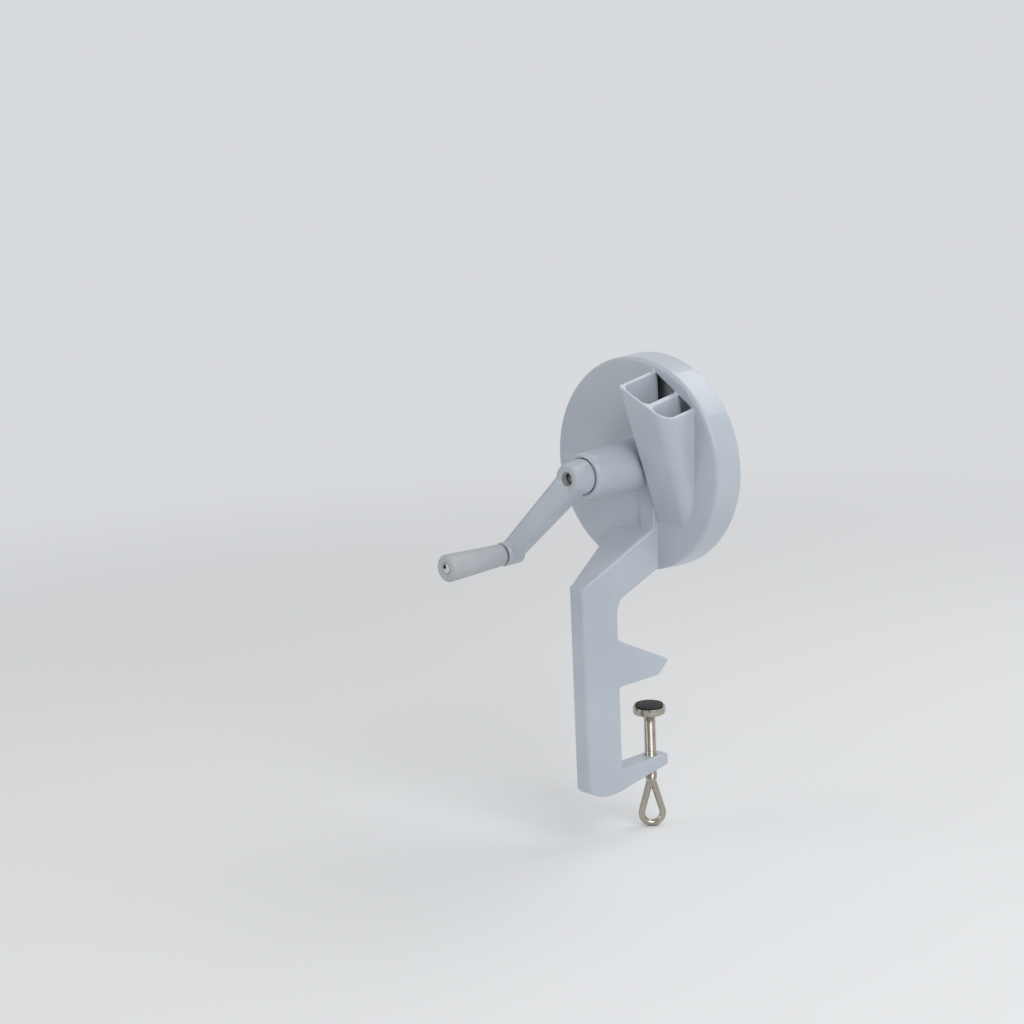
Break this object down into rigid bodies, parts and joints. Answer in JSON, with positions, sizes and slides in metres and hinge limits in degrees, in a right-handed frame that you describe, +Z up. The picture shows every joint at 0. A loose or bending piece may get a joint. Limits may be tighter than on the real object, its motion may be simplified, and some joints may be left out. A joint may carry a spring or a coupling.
{
  "type": "hand-cranked bean slicer",
  "caption": "Hand-cranked bean slicer: a drum with feed mouths and a blade wheel, on an arm that clamps to a table's edge.",
  "frame": {"origin": "where the clamp screw's axis meets the plane of the upper jaw's underside, which rests on the table top", "axes": "+Z up along the clamp screw, -Y towards the crank and its handle, +Y towards the drum's open back, +X towards the feed mouths"},
  "size_m": [0.144, 0.1522, 0.324],
  "materials": {
    "coated_casting": "grey-blue stoved coating over die-cast aluminium",
    "coated_crank": "grey-blue stoved coating over die-cast aluminium",
    "wheel_casting": "bare die-cast aluminium",
    "bearing_bronze": "sintered bronze",
    "turned_steel": "turned steel",
    "knife_steel": "ground stainless steel",
    "zinc_steel": "zinc-plated steel",
    "spring_steel": "blackened spring steel",
    "grip_plastic": "light grey moulded plastic",
    "grip_washer_plastic": "dark plastic",
    "chromed_steel": "bright chrome plate",
    "nickel_steel": "bright nickel plate",
    "pad_rubber": "black rubber"
  },
  "bodies": {
    "stand": {"body_casting": "coated_casting", "front_bush": "bearing_bronze", "rear_bush": "bearing_bronze"},
    "rotor": {"drive_shaft": "turned_steel", "drive_pin": "turned_steel", "blade_wheel": "wheel_casting", "knife_1": "knife_steel", "knife_2": "knife_steel", "knife_3": "knife_steel", "knife_screws": "zinc_steel", "knife_nuts": "zinc_steel", "wheel_washer": "zinc_steel", "wheel_spring_washer": "spring_steel", "wheel_nut": "zinc_steel", "front_thrust_washer": "bearing_bronze", "rear_thrust_washer": "bearing_bronze", "crank_arm": "coated_crank", "grip_pin": "chromed_steel", "grip_washer": "grip_washer_plastic"},
    "grip": {"grip": "grip_plastic"},
    "clamp_pad": {"clamp_pad": "nickel_steel", "clamp_pad_facing": "pad_rubber"},
    "clamp_screw": {"clamp_screw": "nickel_steel"}
  },
  "joints": [
    {"name": "crank_turn", "type": "hinge", "parent": "stand", "child": "rotor", "pos_m": [0, -0.006, 0.1445], "axis": [0, 1, 0], "continuous": true},
    {"name": "grip_spin", "type": "hinge", "parent": "rotor", "child": "grip", "pos_m": [-0.05, -0.107, 0.0913], "axis": [0, 1, 0], "continuous": true},
    {"name": "clamp_travel", "type": "slide", "parent": "stand", "child": "clamp_pad", "axis": [0, 0, 1], "range_m": [-0.028, 0.009]},
    {"name": "clamp_screw_turn", "type": "hinge", "parent": "clamp_pad", "child": "clamp_screw", "pos_m": [0, 0, -0.05], "axis": [0, 0, 1], "range_deg": [-8074, 2602]}
  ],
  "couplings": [
    {"joint": "clamp_screw_turn", "follows": "clamp_travel", "rad_per_m": 5026.5}
  ]
}
